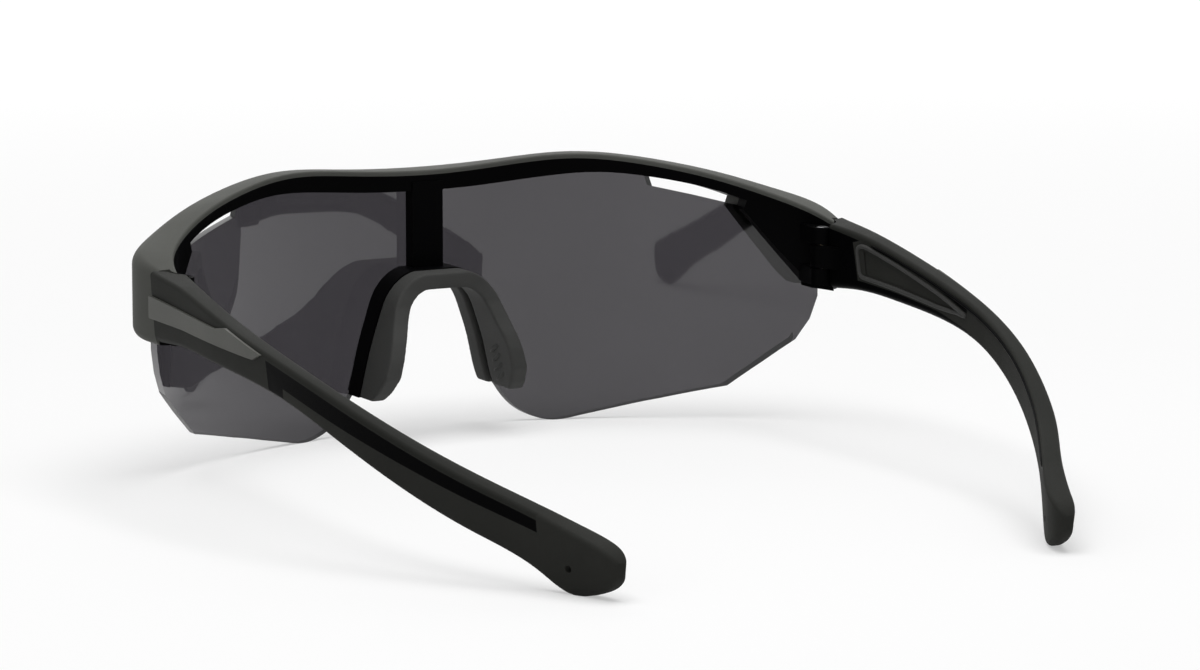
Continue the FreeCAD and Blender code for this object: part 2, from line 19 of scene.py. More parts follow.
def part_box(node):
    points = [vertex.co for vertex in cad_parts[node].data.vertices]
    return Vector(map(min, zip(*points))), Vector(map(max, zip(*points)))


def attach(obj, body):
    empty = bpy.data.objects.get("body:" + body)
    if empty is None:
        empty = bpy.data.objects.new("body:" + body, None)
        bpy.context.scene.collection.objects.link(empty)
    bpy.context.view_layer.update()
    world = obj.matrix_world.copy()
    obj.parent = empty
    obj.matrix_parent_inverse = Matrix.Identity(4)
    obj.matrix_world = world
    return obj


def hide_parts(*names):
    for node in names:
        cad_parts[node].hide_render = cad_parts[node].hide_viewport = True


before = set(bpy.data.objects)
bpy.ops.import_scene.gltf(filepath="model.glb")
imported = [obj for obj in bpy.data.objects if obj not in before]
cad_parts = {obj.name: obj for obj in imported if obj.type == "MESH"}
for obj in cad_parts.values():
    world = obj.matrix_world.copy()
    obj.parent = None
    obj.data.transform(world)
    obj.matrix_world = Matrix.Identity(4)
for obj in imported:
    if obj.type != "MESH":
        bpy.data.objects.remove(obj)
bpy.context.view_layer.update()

LOG = logging.getLogger("sunglasses")
MILLIMETRE = 0.001
MERGE_DISTANCE = 0.002 * MILLIMETRE


class Body(Enum):
    """The rigid bodies that pieces ride on."""

    FRONT = "front"
    LEFT = "left_temple"
    RIGHT = "right_temple"


class Slot(Enum):
    """Material slots of the record."""

    GRAPHITE = "graphite_shell"
    BLACK = "black_moulding"
    LENS = "smoke_lens"
    RUBBER = "soft_rubber"
    ACCENT = "accent_rib"
    STEEL = "screw_steel"
    BRASS = "bush_brass"


Colour = tuple[float, float, float]
Outline = Sequence[tuple[float, float]]
Finishes = dict[Slot, bpy.types.Material]


def mm(*values: float) -> Vector:
    """Return a point given in millimetres as a vector in metres."""
    return Vector(values) * MILLIMETRE


# ---------------------------------------------------------------------------------------------
# Finishes
# ---------------------------------------------------------------------------------------------
class NodeSketch:
    """A short way to write the node tree of a material or of the surroundings."""

    noise_reach: tuple[float, float] = (0.3, 0.7)

    def __init__(self, holder: bpy.types.Material | bpy.types.World) -> None:
        """Empty the holder's node tree, apart from its output.

        Args:
            holder: The new material or world.
        """
        self.holder = holder
        holder.use_nodes = True
        self.tree = holder.node_tree
        self.tree.nodes.clear()
        kind = "World" if isinstance(holder, bpy.types.World) else "Material"
        self.output = self.tree.nodes.new("ShaderNodeOutput" + kind)

    def add(self, kind: str, inputs: dict | None = None, **settings: object) -> bpy.types.Node:
        """Add a node.

        Args:
            kind: The node's type without the ShaderNode prefix.
            inputs: Values or output sockets, by input name or index.
            settings: Attributes of the node.

        Returns:
            The new node.
        """
        node = self.tree.nodes.new("ShaderNode" + kind)
        for key, value in settings.items():
            setattr(node, key, value)
        for key, value in (inputs or {}).items():
            if isinstance(value, bpy.types.NodeSocket):
                self.tree.links.new(value, node.inputs[key])
            else:
                node.inputs[key].default_value = value
        return node

    def noise(self, scale: float, detail: float,
              stretch: Sequence[float] = (1, 1, 1)) -> bpy.types.NodeSocket:
        """Make a noise on the object's own coordinates.

        Args:
            scale: Grains in a metre.
            detail: Octaves of finer noise.
            stretch: Factors on the three axes.

        Returns:
            The socket with its value, which mostly lies in noise_reach.
        """
        place = self.add("TexCoord").outputs["Object"]
        turned = self.add("Mapping", {"Vector": place, "Scale": tuple(stretch)})
        node = self.add("TexNoise", {"Vector": turned.outputs[0], "Scale": scale,
                                     "Detail": detail})
        return node.outputs["Fac"]

    def spread(self, value: bpy.types.NodeSocket, low: float, high: float) -> bpy.types.NodeSocket:
        """Spread a noise value between two numbers.

        Args:
            value: A noise value.
            low: Result at the low end.
            high: Result at the high end.

        Returns:
            The socket with the result.
        """
        start, end = self.noise_reach
        node = self.add("MapRange", {"Value": value, "From Min": start, "From Max": end,
                                     "To Min": low, "To Max": high})
        return node.outputs[0]

    def shades(self, value: bpy.types.NodeSocket, dark: Colour,
               light: Colour) -> bpy.types.NodeSocket:
        """Make a colour that lies between two shades.

        Args:
            value: A noise value.
            dark: Linear colour at the low end.
            light: Linear colour at the high end.

        Returns:
            The socket with the colour.
        """
        ramp = self.add("ValToRGB", {"Fac": value})
        for stop, place, shade in zip(ramp.color_ramp.elements, self.noise_reach, (dark, light)):
            stop.position = place
            stop.color = (*shade, 1)
        return ramp.outputs["Color"]

    def finish(self, shader: bpy.types.Node) -> bpy.types.Material | bpy.types.World:
        """Join the shader to the output.

        Args:
            shader: The node whose first output is the surface.

        Returns:
            The material or world.
        """
        self.tree.links.new(shader.outputs[0], self.output.inputs["Surface"])
        return self.holder


@dataclass(frozen=True)
class MouldedFinish:
    """Moulded plastic or rubber: a fine spark-eroded grain over a slow change of shade."""

    name: str
    dark: Colour
    light: Colour
    roughness: tuple[float, float]
    specular: float
    grain: float
    grain_depth: float
    index: float = 1.45
    grain_strength: float = 0.6
    shade_scale: float = 45.0

    def build(self) -> bpy.types.Material:
        """Build the finish's material."""
        sketch = NodeSketch(bpy.data.materials.new(self.name))
        fine = sketch.noise(self.grain, detail=3.0)
        slow = sketch.noise(self.shade_scale, detail=4.0)
        bump = sketch.add("Bump", {"Height": fine, "Strength": self.grain_strength,
                                   "Distance": self.grain_depth * MILLIMETRE})
        shader = sketch.add("BsdfPrincipled", {
            "Base Color": sketch.shades(slow, self.dark, self.light),
            "Roughness": sketch.spread(fine, *self.roughness),
            "Specular IOR Level": self.specular,
            "IOR": self.index,
            "Normal": bump.outputs[0],
        })
        return sketch.finish(shader)


@dataclass(frozen=True)
class SmokeLensFinish:
    """Smoke-tinted polycarbonate with a hard, glossy coat.

    The sheet is thin and even, so light goes straight through it: each face takes its share of the
    tint, and the coat mirrors a little more towards grazing angles. The cut edge is dark.
    """

    name: str = "smoke_polycarbonate"
    tint: Colour = (0.205, 0.199, 0.211)
    tint_gain: float = 1.08
    tint_scale: float = 25.0
    mirror: float = 1.55
    coat: tuple[float, float] = (0.012, 0.03)
    axis_y: float = 11.1
    edge_limit: float = 0.6
    edge_shade: Colour = (0.006, 0.006, 0.007)
    edge_roughness: float = 0.3
    edge_specular: float = 0.12

    def broad_side(self, sketch: NodeSketch) -> bpy.types.NodeSocket:
        """Tell the sheet's two broad sides, which face the lens's axis, from its cut edge.

        Args:
            sketch: The node tree that asks.

        Returns:
            The socket that is 1 on the broad sides and 0 on the cut edge.
        """
        place = sketch.add("TexCoord")
        outward = sketch.add("VectorMath", {0: place.outputs["Object"], 1: mm(0, self.axis_y, 0)},
                             operation="SUBTRACT")
        level = sketch.add("VectorMath", {0: outward.outputs[0], 1: (1, 1, 0)},
                           operation="MULTIPLY")
        radial = sketch.add("VectorMath", {0: level.outputs[0]}, operation="NORMALIZE")
        share = sketch.add("VectorMath", {0: radial.outputs[0], 1: place.outputs["Normal"]},
                           operation="DOT_PRODUCT")
        size = sketch.add("Math", {0: share.outputs["Value"]}, operation="ABSOLUTE")
        broad = sketch.add("Math", {0: size.outputs[0], 1: self.edge_limit},
                           operation="GREATER_THAN")
        return broad.outputs[0]

    def build(self) -> bpy.types.Material:
        """Build the finish's material."""
        sketch = NodeSketch(bpy.data.materials.new(self.name))
        slow = sketch.noise(self.tint_scale, detail=2.0)
        light = tuple(value * self.tint_gain for value in self.tint)
        through = sketch.add("BsdfTransparent", {"Color": sketch.shades(slow, self.tint, light)})
        coat = sketch.add("BsdfGlossy", {"Color": (1, 1, 1, 1),
                                         "Roughness": sketch.spread(slow, *self.coat)})
        fresnel = sketch.add("Fresnel", {"IOR": self.mirror})
        front = sketch.add("Math", {0: 1.0, 1: sketch.add("NewGeometry").outputs["Backfacing"]},
                           operation="SUBTRACT")
        share = sketch.add("Math", {0: fresnel.outputs[0], 1: front.outputs[0]},
                           operation="MULTIPLY")
        sheet = sketch.add("MixShader", {0: share.outputs[0], 1: through.outputs[0],
                                         2: coat.outputs[0]})
        edge = sketch.add("BsdfPrincipled", {"Base Color": (*self.edge_shade, 1),
                                             "Roughness": self.edge_roughness,
                                             "Specular IOR Level": self.edge_specular})
        return sketch.finish(sketch.add("MixShader", {0: self.broad_side(sketch),
                                                      1: edge.outputs[0], 2: sheet.outputs[0]}))


@dataclass(frozen=True)
class TurnedMetalFinish:
    """Small turned or rolled metal hardware with fine rings."""

    name: str
    dark: Colour
    light: Colour
    roughness: tuple[float, float] = (0.25, 0.4)
    ring_scale: float = 900.0
    ring_stretch: tuple[float, float, float] = (1, 1, 6)
    ring_depth: float = 0.02
    ring_strength: float = 0.3

    def build(self) -> bpy.types.Material:
        """Build the finish's material."""
        sketch = NodeSketch(bpy.data.materials.new(self.name))
        rings = sketch.noise(self.ring_scale, detail=2.0, stretch=self.ring_stretch)
        bump = sketch.add("Bump", {"Height": rings, "Strength": self.ring_strength,
                                   "Distance": self.ring_depth * MILLIMETRE})
        shader = sketch.add("BsdfPrincipled", {
            "Base Color": sketch.shades(rings, self.dark, self.light),
            "Metallic": 1.0,
            "Roughness": sketch.spread(rings, *self.roughness),
            "Normal": bump.outputs[0],
        })
        return sketch.finish(shader)


FRONT_GRAPHITE = MouldedFinish(
    "graphite_matte", dark=(0.056, 0.0572, 0.0515), light=(0.072, 0.0735, 0.0665),
    roughness=(0.54, 0.68), specular=0.2, grain=5200.0, grain_depth=0.012, index=1.35)
# Painted shade: the temple shells are the same matte graphite as the brow frame, and this copy is
# made about four times darker so that the temples look shaded.
PAINTED_SHADE_GRAPHITE = MouldedFinish(
    "graphite_with_painted_shade", dark=(0.0145, 0.0149, 0.0132), light=(0.0195, 0.02, 0.0178),
    roughness=(0.5, 0.64), specular=0.16, grain=5600.0, grain_depth=0.01, index=1.22)
BLACK_SATIN = MouldedFinish(
    "black_satin", dark=(0.0009, 0.0009, 0.001), light=(0.0016, 0.0016, 0.0018),
    roughness=(0.26, 0.4), specular=0.06, grain=3800.0, grain_depth=0.005, index=1.22)
CHARCOAL_RUBBER = MouldedFinish(
    "charcoal_rubber", dark=(0.0175, 0.0178, 0.016), light=(0.024, 0.0244, 0.022),
    roughness=(0.62, 0.76), specular=0.14, grain=4200.0, grain_depth=0.014, index=1.3)
NOSE_RUBBER = MouldedFinish(
    "nose_rubber", dark=(0.04, 0.0403, 0.0388), light=(0.053, 0.0534, 0.0515),
    roughness=(0.6, 0.74), specular=0.2, grain=4200.0, grain_depth=0.014, index=1.35)
RIB_SATIN = MouldedFinish(
    "rib_satin", dark=(0.058, 0.059, 0.052), light=(0.074, 0.075, 0.067),
    roughness=(0.45, 0.56), specular=0.25, grain=5200.0, grain_depth=0.008)
SCREW_STEEL = TurnedMetalFinish("screw_steel", dark=(0.42, 0.42, 0.43), light=(0.58, 0.58, 0.59))
BUSH_BRASS = TurnedMetalFinish("bush_brass", dark=(0.52, 0.37, 0.15), light=(0.66, 0.5, 0.24))


def make_finishes() -> Finishes:
    """Build one material for each slot of the record."""
    finishes = {
        Slot.GRAPHITE: FRONT_GRAPHITE,
        Slot.BLACK: BLACK_SATIN,
        Slot.LENS: SmokeLensFinish(),
        Slot.RUBBER: CHARCOAL_RUBBER,
        Slot.ACCENT: RIB_SATIN,
        Slot.STEEL: SCREW_STEEL,
        Slot.BRASS: BUSH_BRASS,
    }
    return {slot: finish.build() for slot, finish in finishes.items()}


def own_finishes(finishes: Finishes, slot: Slot, finish: MouldedFinish) -> Finishes:
    """Change one slot's finish for some of the pieces.

    Args:
        finishes: The materials by slot.
        slot: The slot to change.
        finish: The finish that takes its place.

    Returns:
        The materials by slot, with the changed one.
    """
    return {**finishes, slot: finish.build()}


# ---------------------------------------------------------------------------------------------
# Mesh helpers
# ---------------------------------------------------------------------------------------------
def new_piece(name: str, mesh: bpy.types.Mesh, material: bpy.types.Material) -> bpy.types.Object:
    """Make an object at the origin from a mesh.

    Args:
        name: The piece's name.
        mesh: Its mesh, in metres.
        material: Its only material.

    Returns:
        The linked object.
    """
    mesh.materials.clear()
    mesh.materials.append(material)
    piece = bpy.data.objects.new(name, mesh)
    bpy.context.scene.collection.objects.link(piece)
    return piece


def piece_from(name: str, shape: bmesh.types.BMesh,
               material: bpy.types.Material) -> bpy.types.Object:
    """Make an object at the origin from an edit mesh, which is freed.

    Args:
        name: The name of the piece and of its mesh.
        shape: The edit mesh, in metres.
        material: Its only material.

    Returns:
        The linked object.
    """
    mesh = bpy.data.meshes.new(name)
    shape.to_mesh(mesh)
    shape.free()
    return new_piece(name, mesh, material)


def merged_node(node: str) -> bmesh.types.BMesh:
    """Copy a construction node's mesh, with its loose triangles merged.

    Args:
        node: The node's name.

    Returns:
        The edit mesh.
    """
    shape = bmesh.new()
    shape.from_mesh(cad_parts[node].data)
    bmesh.ops.remove_doubles(shape, verts=shape.verts, dist=MERGE_DISTANCE)
    return shape


def smooth_faces(piece: bpy.types.Object) -> None:
    """Shade every face of a piece smooth."""
    for face in piece.data.polygons:
        face.use_smooth = True


def mark_edges(shape: bmesh.types.BMesh, crease: float) -> None:
    """Shade smooth, and mark as sharp every edge that turns more than a limit.

    Args:
        shape: The edit mesh.
        crease: The limit in degrees.
    """
    limit = math.radians(crease)
    for face in shape.faces:
        face.smooth = True
    for edge in shape.edges:
        edge.smooth = len(edge.link_faces) == 2 and edge.calc_face_angle(0.0) < limit


def mark_piece(piece: bpy.types.Object, crease: float) -> None:
    """Shade a finished piece smooth between its sharp edges.

    Args:
        piece: The object.
        crease: Edges that turn more than this many degrees stay sharp.
    """
    shape = bmesh.new()
    shape.from_mesh(piece.data)
    mark_edges(shape, crease)
    shape.to_mesh(piece.data)
    shape.free()


def apply_modifiers(piece: bpy.types.Object) -> None:
    """Turn a piece's modifiers into plain mesh.

    Args:
        piece: The object, which keeps its materials.
    """
    bpy.context.view_layer.update()
    evaluated = piece.evaluated_get(bpy.context.evaluated_depsgraph_get())
    mesh = bpy.data.meshes.new_from_object(evaluated)
    piece.modifiers.clear()
    old = piece.data
    piece.data = mesh
    bpy.data.meshes.remove(old)


def settle(piece: bpy.types.Object, body: Body, slot: Slot, *nodes: str) -> bpy.types.Object:
    """Hang a finished piece on its body and hide the construction nodes that it stands for.

    Args:
        piece: The object.
        body: The body that it rides on.
        slot: Not used.
        nodes: The construction nodes that it stands for.

    Returns:
        The same object.
    """
    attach(piece, body.value)
    if nodes:
        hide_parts(*nodes)
    LOG.info("%s: %d faces on %s", piece.name, len(piece.data.polygons), body.value)
    return piece


# ---------------------------------------------------------------------------------------------
# Hard mouldings
# ---------------------------------------------------------------------------------------------
@dataclass
class Moulding:
    """A hard piece shaped as its construction node, with smooth faces and broken edges."""

    node: str
    body: Body
    slot: Slot
    edge_break: float = 0.12
    edge_steps: int = 2
    crease: float = 32.0
    flat_limit: float = 0.6
    shortest_edge: float = 0.001

    def build(self, finishes: Finishes) -> bpy.types.Object:
        """Build the piece.

        Args:
            finishes: The materials by slot.

        Returns:
            The object that stands for the node.
        """
        shape = merged_node(self.node)
        bmesh.ops.dissolve_degenerate(shape, edges=shape.edges,
                                      dist=self.shortest_edge * MILLIMETRE)
        bmesh.ops.dissolve_limit(shape, angle_limit=math.radians(self.flat_limit),
                                 verts=shape.verts, edges=shape.edges)
        mark_edges(shape, self.crease)
        piece = piece_from(self.node + "_skin", shape, finishes[self.slot])
        if self.edge_break > 0:
            bevel = piece.modifiers.new("edge_break", "BEVEL")
            bevel.width = self.edge_break * MILLIMETRE
            bevel.segments = self.edge_steps
            bevel.limit_method = "ANGLE"
            bevel.angle_limit = math.radians(self.crease)
            bevel.harden_normals = True
            apply_modifiers(piece)
        return settle(piece, self.body, self.slot, self.node)


# ---------------------------------------------------------------------------------------------
# Surfaces and lines to lay details on
# ---------------------------------------------------------------------------------------------
class NodeSurface:
    """Finds points on the surface of some construction nodes by shooting rays along X."""

    def __init__(self, *nodes: str) -> None:
        """Read the nodes' meshes.

        Args:
            nodes: The construction nodes' names.
        """
        shape = bmesh.new()
        for node in nodes:
            shape.from_mesh(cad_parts[node].data)
        self.tree = BVHTree.FromBMesh(shape)
        shape.free()

    def hit(self, y: float, z: float, outwards: bool) -> Vector | None:
        """Find the first point that a ray from the middle plane meets.

        Args:
            y: Its place along the temple, in millimetres.
            z: Its height in millimetres.
            outwards: True for a ray towards +X.

        Returns:
            The point in metres, or None where the ray meets nothing.
        """
        return self.tree.ray_cast(mm(0, y, z), Vector((1 if outwards else -1, 0, 0)))[0]


# Shares of a tube's radius at its open ends, from the last point inwards.
END_SHARES = (0.35, 0.8)


def tube(path: Sequence[Vector], radius: float, sides: int, closed: bool) -> bmesh.types.BMesh:
    """Make a round tube along a path, with rounded ends where it is open.

    Args:
        path: Points in metres.
        radius: The tube's radius in millimetres.
        sides: Corners of its section.
        closed: True where the last point joins the first.

    Returns:
        The edit mesh, with its normals outwards.
    """
    shape = bmesh.new()
    count = len(path)
    rings = []
    for index, point in enumerate(path):
        before = path[index - 1] if closed or index else path[0]
        after = path[(index + 1) % count] if closed or index < count - 1 else path[-1]
        along = (after - before).normalized()
        side = along.cross(Vector((1, 0, 0))).normalized()
        up = side.cross(along)
        from_end = min(index, count - 1 - index)
        share = 1.0 if closed or from_end >= len(END_SHARES) else END_SHARES[from_end]
        ring = []
        for corner in range(sides):
            turn = 2 * math.pi * corner / sides
            offset = side * math.cos(turn) + up * math.sin(turn)
            ring.append(shape.verts.new(point + offset * radius * share * MILLIMETRE))
        rings.append(ring)
    pairs = list(zip(rings, rings[1:])) + ([(rings[-1], rings[0])] if closed else [])
    for first, second in pairs:
        for corner in range(sides):
            following = (corner + 1) % sides
            shape.faces.new((first[corner], first[following], second[following], second[corner]))
    if not closed:
        shape.faces.new(rings[0][::-1])
        shape.faces.new(rings[-1])
    bmesh.ops.recalc_face_normals(shape, faces=shape.faces)
    for face in shape.faces:
        face.smooth = True
    return shape


def evenly(corners: Outline, step: float, rounding: int) -> Outline:
    """Walk round a closed outline in even steps, with its corners rounded.

    Args:
        corners: The outline's corners.
        step: Distance between points.
        rounding: How many times neighbours are averaged.

    Returns:
        The points.
    """
    points = []
    for (a, b), (c, d) in zip(corners, list(corners[1:]) + [corners[0]]):
        steps = max(1, round(math.dist((a, b), (c, d)) / step))
        points += [(a + (c - a) * k / steps, b + (d - b) * k / steps) for k in range(steps)]
    for _ in range(rounding):
        following = points[1:] + points[:1]
        points = [tuple((before + 2 * here + after) / 4
                        for before, here, after in zip(points[k - 1], points[k], following[k]))
                  for k in range(len(points))]
    return points


# ---------------------------------------------------------------------------------------------
# Repeated details
# ---------------------------------------------------------------------------------------------
class Scatter:
    """A Geometry Nodes tree that sets one shape on each point of a mesh, turned as it says."""

    def __init__(self, name: str) -> None:
        """Build the tree.

        Args:
            name: The tree's name.
        """
        self.group = bpy.data.node_groups.new(name, "GeometryNodeTree")
        face = self.group.interface
        face.new_socket("Geometry", in_out="INPUT", socket_type="NodeSocketGeometry")
        self.shape, self.size, self.finish = (
            face.new_socket(label, in_out="INPUT", socket_type="NodeSocket" + kind).identifier
            for label, kind in (("Shape", "Object"), ("Size", "Float"), ("Finish", "Material")))
        face.new_socket("Geometry", in_out="OUTPUT", socket_type="NodeSocketGeometry")
        nodes, links = self.group.nodes, self.group.links
        given, result = nodes.new("NodeGroupInput"), nodes.new("NodeGroupOutput")
        shape = nodes.new("GeometryNodeObjectInfo")
        turn = nodes.new("GeometryNodeInputNamedAttribute")
        turn.data_type = "FLOAT_VECTOR"
        turn.inputs["Name"].default_value = "turn"
        place = nodes.new("GeometryNodeInstanceOnPoints")
        real = nodes.new("GeometryNodeRealizeInstances")
        paint = nodes.new("GeometryNodeSetMaterial")
        links.new(given.outputs["Geometry"], place.inputs["Points"])
        links.new(given.outputs["Shape"], shape.inputs["Object"])
        links.new(shape.outputs["Geometry"], place.inputs["Instance"])
        links.new(turn.outputs["Attribute"], place.inputs["Rotation"])
        links.new(given.outputs["Size"], place.inputs["Scale"])
        links.new(place.outputs["Instances"], real.inputs["Geometry"])
        links.new(real.outputs["Geometry"], paint.inputs["Geometry"])
        links.new(given.outputs["Finish"], paint.inputs["Material"])
        links.new(paint.outputs["Geometry"], result.inputs["Geometry"])

    def lay(self, name: str, places: Sequence[tuple[Vector, Vector]], shape: bpy.types.Object,
            material: bpy.types.Material) -> bpy.types.Object:
        """Set the shape on the places as one plain mesh.

        Args:
            name: The new piece's name.
            places: Points in metres, and turns in radians about X, Y and Z.
            shape: The object to repeat, which is removed.
            material: The finish of the result.

        Returns:
            The piece.
        """
        mesh = bpy.data.meshes.new(name)
        mesh.from_pydata([place for place, _ in places], [], [])
        turns = mesh.attributes.new("turn", "FLOAT_VECTOR", "POINT")
        for index, (_, turn) in enumerate(places):
            turns.data[index].vector = turn
        piece = new_piece(name, mesh, material)
        modifier = piece.modifiers.new("scatter", "NODES")
        modifier.node_group = self.group
        modifier[self.shape] = shape
        modifier[self.size] = 1.0
        modifier[self.finish] = material
        apply_modifiers(piece)
        bpy.data.objects.remove(shape)
        smooth_faces(piece)
        return piece


@dataclass
class HingeScrews:
    """The two slotted hinge screws, turned from one profile of radii and heights."""

    profile: tuple[tuple[float, float], ...] = (
        (0.0, 0.0), (0.55, 0.0), (0.69, 0.14), (0.69, 9.85), (1.2, 9.95), (1.24, 10.05),
        (1.24, 10.55), (1.14, 10.72), (0.9, 10.8), (0.0, 10.8))
    thread_run: tuple[float, float] = (0.3, 1.6)
    thread_radii: tuple[float, float] = (0.58, 0.69)
    thread_pitch: float = 0.28
    slot_width: float = 0.36
    slot_depth: float = 0.42
    blade_length: float = 4.0
    sides: int = 40
    crease: float = 35.0
    slot_turns: tuple[tuple[str, float], ...] = (("left", 0.5), ("right", 2.1))

    def outline(self) -> Outline:
        """Return the profile with the thread's roots and crests along the lower end."""
        low, high = self.thread_run
        root, crest = self.thread_radii
        thread = []
        for index in range(int((high - low) / self.thread_pitch)):
            at = low + index * self.thread_pitch
            thread += [(root, at), (crest, at + self.thread_pitch / 2)]
        return list(self.profile[:3]) + thread + list(self.profile[3:])

    def turned(self) -> bmesh.types.BMesh:
        """Turn the outline round the Z axis, as far as the flats at its two ends."""
        body = bmesh.new()
        rings = []
        for radius, height in self.outline()[1:-1]:
            turns = [2 * math.pi * k / self.sides for k in range(self.sides)]
            rings.append([body.verts.new(mm(radius * math.cos(turn), radius * math.sin(turn),
                                            height)) for turn in turns])
        for first, second in zip(rings, rings[1:]):
            for k in range(self.sides):
                following = (k + 1) % self.sides
                body.faces.new((first[k], first[following], second[following], second[k]))
        body.faces.new(rings[0][::-1])
        body.faces.new(rings[-1])
        return body

    def shape(self, material: bpy.types.Material) -> bpy.types.Object:
        """Make one screw, standing on its axis, and mill its slot.

        Args:
            material: Its finish.

        Returns:
            The screw as an object of its own.
        """
        screw = piece_from("screw_shape", self.turned(), material)
        top = self.profile[-1][1]
        size = mm(self.blade_length, self.slot_width, 2 * self.slot_depth)
        blade = bmesh.new()
        bmesh.ops.create_cube(blade, size=1.0, matrix=Matrix.Translation(mm(0, 0, top))
                              @ Matrix.Diagonal((*size, 1)))
        cutter = piece_from("slot_blade", blade, material)
        cut = screw.modifiers.new("slot", "BOOLEAN")
        cut.operation = "DIFFERENCE"
        cut.object = cutter
        cut.solver = "EXACT"
        apply_modifiers(screw)
        bpy.data.objects.remove(cutter)
        return screw

    def build(self, scatter: Scatter, finishes: Finishes) -> bpy.types.Object:
        """Set both screws on their hinge axes.

        Args:
            scatter: The tree that repeats them.
            finishes: The materials by slot.

        Returns:
            The piece with both screws.
        """
        steel = finishes[Slot.STEEL]
        places = []
        for side, turn in self.slot_turns:
            low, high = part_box(f"hinge_screw_{side}")
            axis = Vector(((low[0] + high[0]) / 2, (low[1] + high[1]) / 2, low[2]))
            places.append((axis, Vector((0, 0, turn))))
        piece = scatter.lay("hinge_screws", places, self.shape(steel), steel)
        mark_piece(piece, self.crease)
        return settle(piece, Body.FRONT, Slot.STEEL, "hinge_screw_left", "hinge_screw_right")


@dataclass
class NosePad:
    """The soft pad: rounded wings and bridge, with short ribs on the faces that touch the nose."""

    voxel: float = 0.22
    relax_turns: int = 26
    relax_share: float = 0.5
    rib_heights: tuple[float, ...] = (10.4, 12.2, 14.0, 15.8)
    rib_middle: float = -68.4
    rib_length: float = 4.2
    rib_radius: float = 0.4
    rib_slant: float = 28.0
    rib_steps: int = 8
    rib_sides: int = 10

    def pad(self, rubber: bpy.types.Material) -> bpy.types.Object:
        """Round the construction solid by an even remesh that is then relaxed.

        Args:
            rubber: The pad's finish.

        Returns:
            The pad without its ribs.
        """
        pad = piece_from("nose_pad_soft", merged_node("nose_pad"), rubber)
        remesh = pad.modifiers.new("even", "REMESH")
        remesh.mode = "VOXEL"
        remesh.voxel_size = self.voxel * MILLIMETRE
        relax = pad.modifiers.new("relax", "SMOOTH")
        relax.factor = self.relax_share
        relax.iterations = self.relax_turns
        apply_modifiers(pad)
        smooth_faces(pad)
        return pad

    def ribs(self, scatter: Scatter, rubber: bpy.types.Material) -> bpy.types.Object:
        """Lay the ribs on the two faces that touch the nose.

        Args:
            scatter: The tree that repeats them.
            rubber: Their finish.

        Returns:
            The piece with all ribs.
        """
        surface = NodeSurface("nose_pad")
        slant = Vector((math.radians(self.rib_slant), 0, 0))
        found = [surface.hit(self.rib_middle, height, outwards)
                 for outwards in (True, False) for height in self.rib_heights]
        places = [(point, slant) for point in found if point]
        half = self.rib_length / 2
        path = [mm(0, -half + self.rib_length * k / self.rib_steps, 0)
                for k in range(self.rib_steps + 1)]
        rib = piece_from("rib_shape", tube(path, self.rib_radius, self.rib_sides, closed=False),
                         rubber)
        return scatter.lay("nose_pad_ribs", places, rib, rubber)

    def build(self, scatter: Scatter, finishes: Finishes) -> bpy.types.Object:
        """Build the pad and its ribs.

        Args:
            scatter: The tree that repeats the ribs.
            finishes: The materials by slot.

        Returns:
            The pad.
        """
        pad = self.pad(finishes[Slot.RUBBER])
        settle(self.ribs(scatter, finishes[Slot.RUBBER]), Body.FRONT, Slot.RUBBER)
        settle(pad, Body.FRONT, Slot.RUBBER, "nose_pad")
        return pad


@dataclass
class PadRim:
    """The raised bead round the soft pad on a temple's inner side."""

    side: str
    body: Body
    outline: tuple[tuple[float, float], ...] = (
        (-29.6, 30.4), (-30.4, 35.8), (-28.6, 36.3), (-18.0, 34.2), (-3.0, 31.0), (8.0, 28.2),
        (-3.0, 28.4), (-18.0, 29.6))
    step: float = 0.7
    rounding: int = 2
    radius: float = 0.42
    sides: int = 10

    def build(self, finishes: Finishes) -> bpy.types.Object:
        """Lay the bead on the pad's face.

        Args:
            finishes: The materials by slot.

        Returns:
            The bead.
        """
        surface = NodeSurface(f"temple_grip_{self.side}")
        outwards = self.side == "left"
        found = [surface.hit(y, z, outwards)
                 for y, z in evenly(self.outline, self.step, self.rounding)]
        path = [point for point in found if point]
        piece = piece_from(f"temple_rim_{self.side}",
                           tube(path, self.radius, self.sides, closed=True),
                           finishes[Slot.RUBBER])
        return settle(piece, self.body, Slot.RUBBER)


@dataclass
class PartingLine:
    """The black line that parts the graphite strip from the soft grip, on a temple's inner side."""

    side: str
    body: Body
    run: tuple[float, float] = (-26.0, 66.0)
    step: float = 1.0
    strip_reach: float = 1.5
    below_top: float = 1.35
    rounding: int = 6
    radius: float = 0.3
    sides: int = 8

    def path(self) -> list[Vector]:
        """Return the points just below the strip's top edge, with their unevenness averaged."""
        outwards = self.side == "left"
        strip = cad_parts[f"temple_shell_{self.side}"].data
        surface = NodeSurface(*(f"temple_{part}_{self.side}" for part in ("shell", "core", "grip")))
        start, end = self.run
        count = int((end - start) / self.step)
        points = []
        for index in range(count + 1):
            y = start + (end - start) * index / count
            near = [vertex.co.z for vertex in strip.vertices
                    if abs(vertex.co.y - y * MILLIMETRE) < self.strip_reach * MILLIMETRE]
            if near:
                found = surface.hit(y, max(near) / MILLIMETRE - self.below_top, outwards)
                if found:
                    points.append(found)
        for _ in range(self.rounding):
            points[1:-1] = [(before + here * 2 + after) / 4
                            for before, here, after in zip(points, points[1:], points[2:])]
        return points

    def build(self, finishes: Finishes) -> bpy.types.Object:
        """Lay the line just below the strip, all the way to the soft tip.

        Args:
            finishes: The materials by slot.

        Returns:
            The line.
        """
        piece = piece_from(f"temple_line_{self.side}",
                           tube(self.path(), self.radius, self.sides, closed=False),
                           finishes[Slot.BLACK])
        return settle(piece, self.body, Slot.BLACK)


